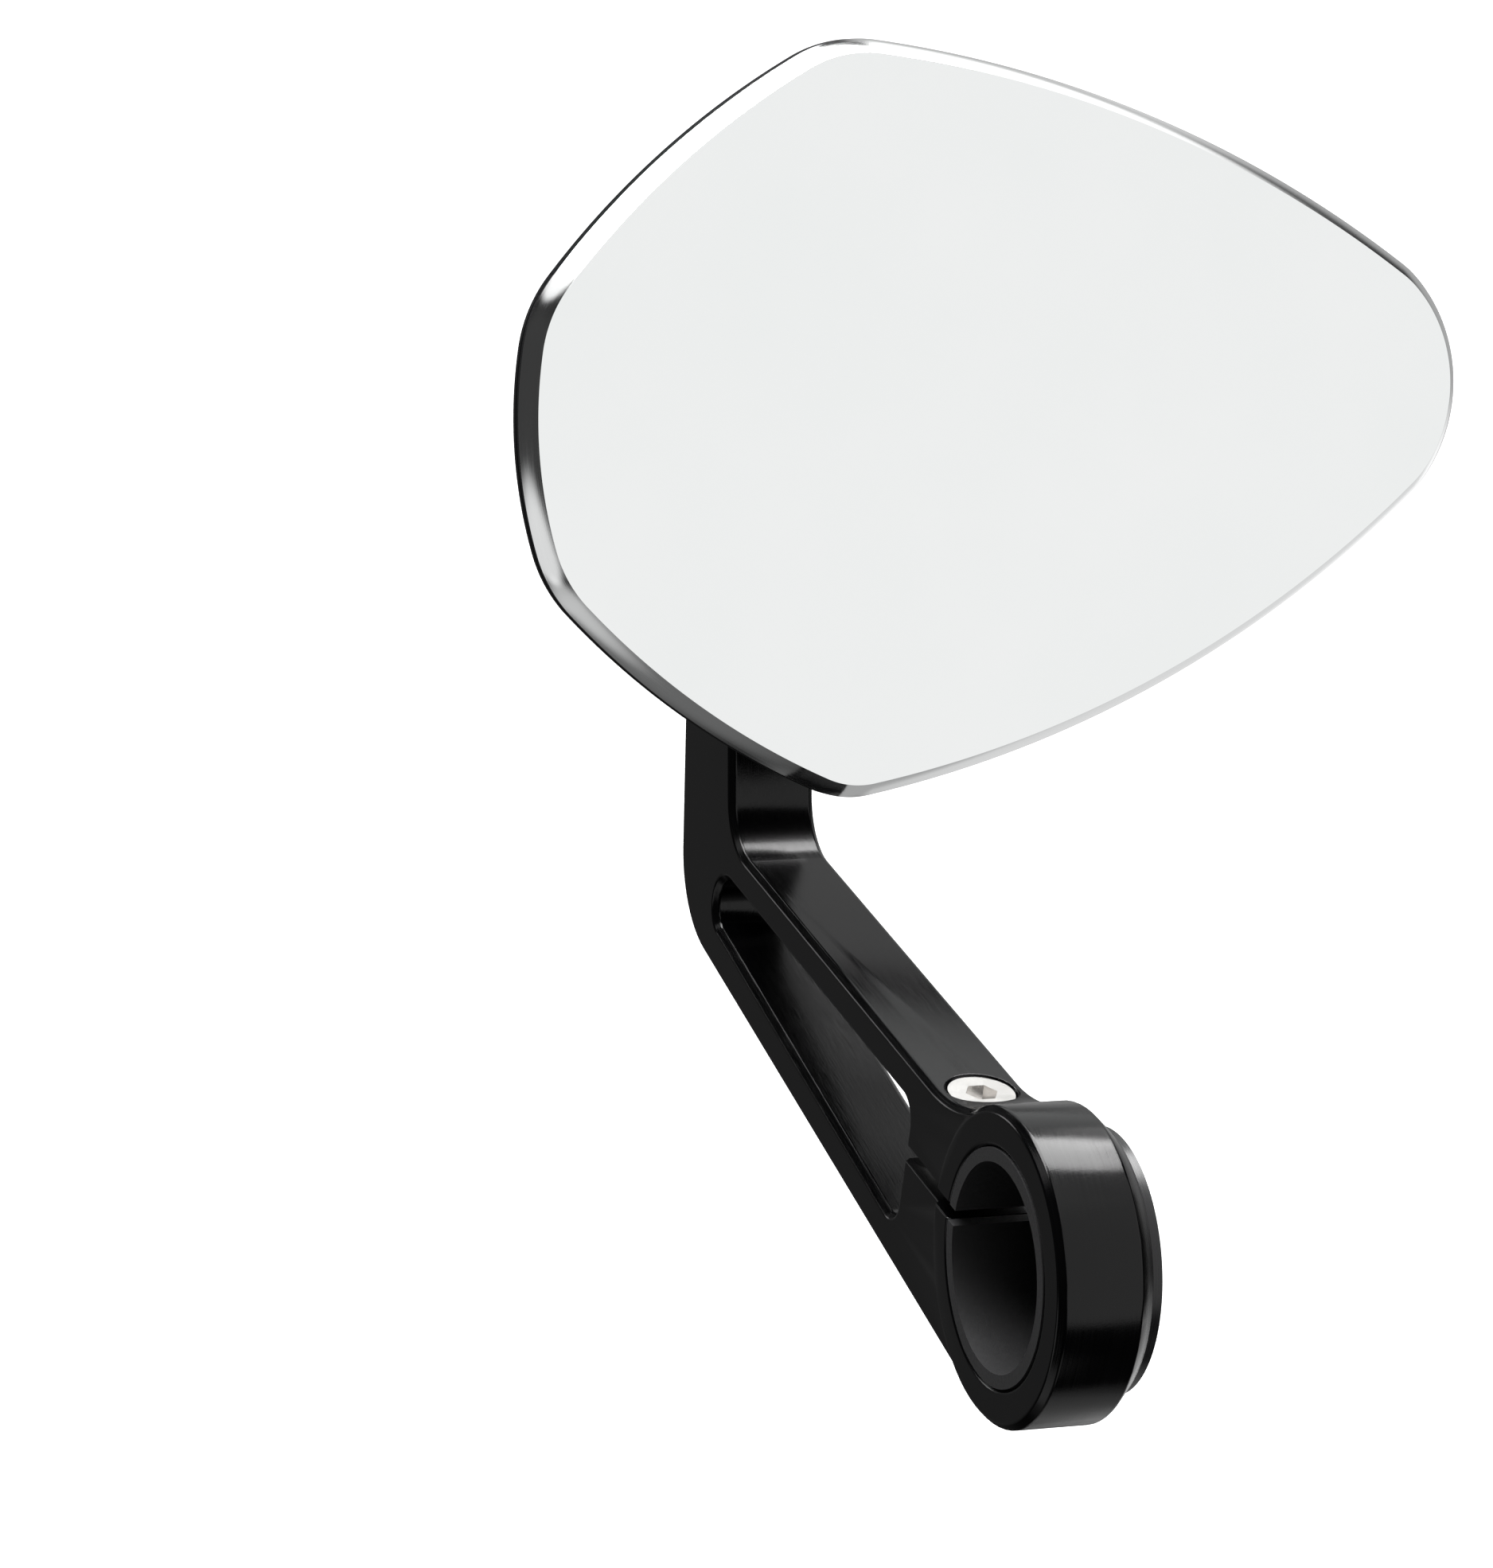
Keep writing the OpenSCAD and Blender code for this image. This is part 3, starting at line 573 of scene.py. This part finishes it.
def studio_sky():
    """Light from all round: a dusk, and on it the patches of SKY, each brightest about its direction."""
    world = bpy.data.worlds.new("studio")
    bpy.context.scene.world = world
    world.use_nodes = True
    tree = world.node_tree
    background = tree.nodes["Background"]
    place = tree.nodes.new("ShaderNodeTexCoord").outputs["Generated"]

    def patch(direction, inner, outer, amount):
        """Brightness that falls from an inner to an outer angle about a direction."""
        aim = np.array(direction, float)
        aim /= np.linalg.norm(aim)
        dot = tree.nodes.new("ShaderNodeVectorMath")
        dot.operation = "DOT_PRODUCT"
        tree.links.new(place, dot.inputs[0])
        dot.inputs[1].default_value = aim
        fall = tree.nodes.new("ShaderNodeMapRange")
        fall.interpolation_type = "SMOOTHERSTEP"
        tree.links.new(dot.outputs["Value"], fall.inputs["Value"])
        fall.inputs["From Min"].default_value = math.cos(math.radians(outer))
        fall.inputs["From Max"].default_value = math.cos(math.radians(inner))
        fall.inputs["To Max"].default_value = amount
        return fall.outputs["Result"]

    total = None
    for direction, inner, outer, amount in SKY:
        add = tree.nodes.new("ShaderNodeMath")
        tree.links.new(patch(direction, inner, outer, amount), add.inputs[0])
        if total is None:
            add.inputs[1].default_value = DUSK
        else:
            tree.links.new(total, add.inputs[1])
        total = add.outputs[0]
    background.inputs["Color"].default_value = (1, 1, 1, 1)
    tree.links.new(total, background.inputs["Strength"])


def floor():
    """A wide pale floor that rises into a round wall: a profile turned about the vertical."""
    bend = np.linspace(0, 1, ROUNDING_STEPS) * math.pi / 2
    curve = np.concatenate([
        [[out, 0.0] for out in FLOOR_FLAT],
        np.stack([ROUNDING_START + ROUNDING * np.sin(bend), ROUNDING * (1 - np.cos(bend))], 1),
        [[WALL_DISTANCE, WALL_TOP]]])
    around = np.linspace(0, 2 * math.pi, FLOOR_STEPS, endpoint=False)
    grid = np.stack([
        curve[:, :1] * np.cos(around), curve[:, :1] * np.sin(around),
        np.broadcast_to(curve[:, 1:], (len(curve), len(around)))], -1)
    grid[..., 2] += FLOOR_LEVEL
    count, steps = grid.shape[:2]
    j = np.arange(steps)
    k = (j + 1) % steps
    faces = np.concatenate([
        np.stack([i * steps + j, (i + 1) * steps + j, (i + 1) * steps + k, i * steps + k], 1)
        for i in range(count - 1)]).tolist()
    faces.append(list(range(steps)))
    f = Finish("pale_floor", Base_Color=(0.93, 0.93, 0.93, 1), Roughness=0.9)
    f.shader.inputs["Emission Color"].default_value = (1, 1, 1, 1)
    f.shader.inputs["Emission Strength"].default_value = 0.75
    f.tint(f.noise(f.place, 3.0), (0.92, 0.92, 0.92), (0.94, 0.94, 0.94))
    made = new_object("floor", grid.reshape(-1, 3), faces, [f.material])
    made.visible_glossy = False
    made.visible_diffuse = False
    made.visible_shadow = False


# ---- The whole thing ----

camera()
black = anodised_plain("black_anodised_blasted", specular=0.08)
bright_steel = steel("stainless_turned", (0.93, 0.91, 0.885), 0.20)
black_steel = steel("black_oxide_steel", (0.05, 0.05, 0.054), 0.35)
spring = steel("spring_steel", (0.35, 0.36, 0.38), 0.3)
bronze = steel("bearing_bronze", (0.62, 0.43, 0.20), 0.32)
natural_nylon = plastic("natural_nylon", (0.78, 0.76, 0.68), 0.45, 3000, subsurface=0.1)
black_nylon = plastic("black_nylon", (0.03, 0.03, 0.031), 0.5, 2600)
rubber = plastic("black_rubber", (0.022, 0.022, 0.022), 0.62, 3600, 0.35)

mirror_plate(polished_face(), polished_bevel(), black)
bond_line(black_nylon)
mirror_back(black)
arm_edges(anodised_arm())
for name, material in {
        "bar_sleeve": black_nylon,
        "end_cap": anodised_plain("black_anodised_cap", 0),
        "cap_ring": rubber,
        "clamp_screw": bright_steel,
        "thrust_cup": bronze,
        "disc_springs": spring,
        "adjuster_plug": anodised_plain("black_anodised_plug", 1, tuple(ball)),
        "lock_screw": black_steel,
        "liner_front": natural_nylon,
        "liner_rear": natural_nylon,
        "ball_stud": bright_steel,
        "stud_nut": bright_steel,
        "stud_washer": bright_steel,
        "swivel_spring": spring,
        "mount_hub": anodised_plain("black_anodised_hub", 1, tuple(ball)),
        "hub_screws": black_steel,
        "swivel_bush": bronze}.items():
    finish_node(name, material)

studio_sky()
softbox("overhead", (0.0, 0.125, 1.05), (0.0, 0.125, 0.0), (1.5, 0.58), 36.0)
floor()
bpy.context.scene.view_settings.view_transform = "Standard"

bpy.context.view_layer.update()
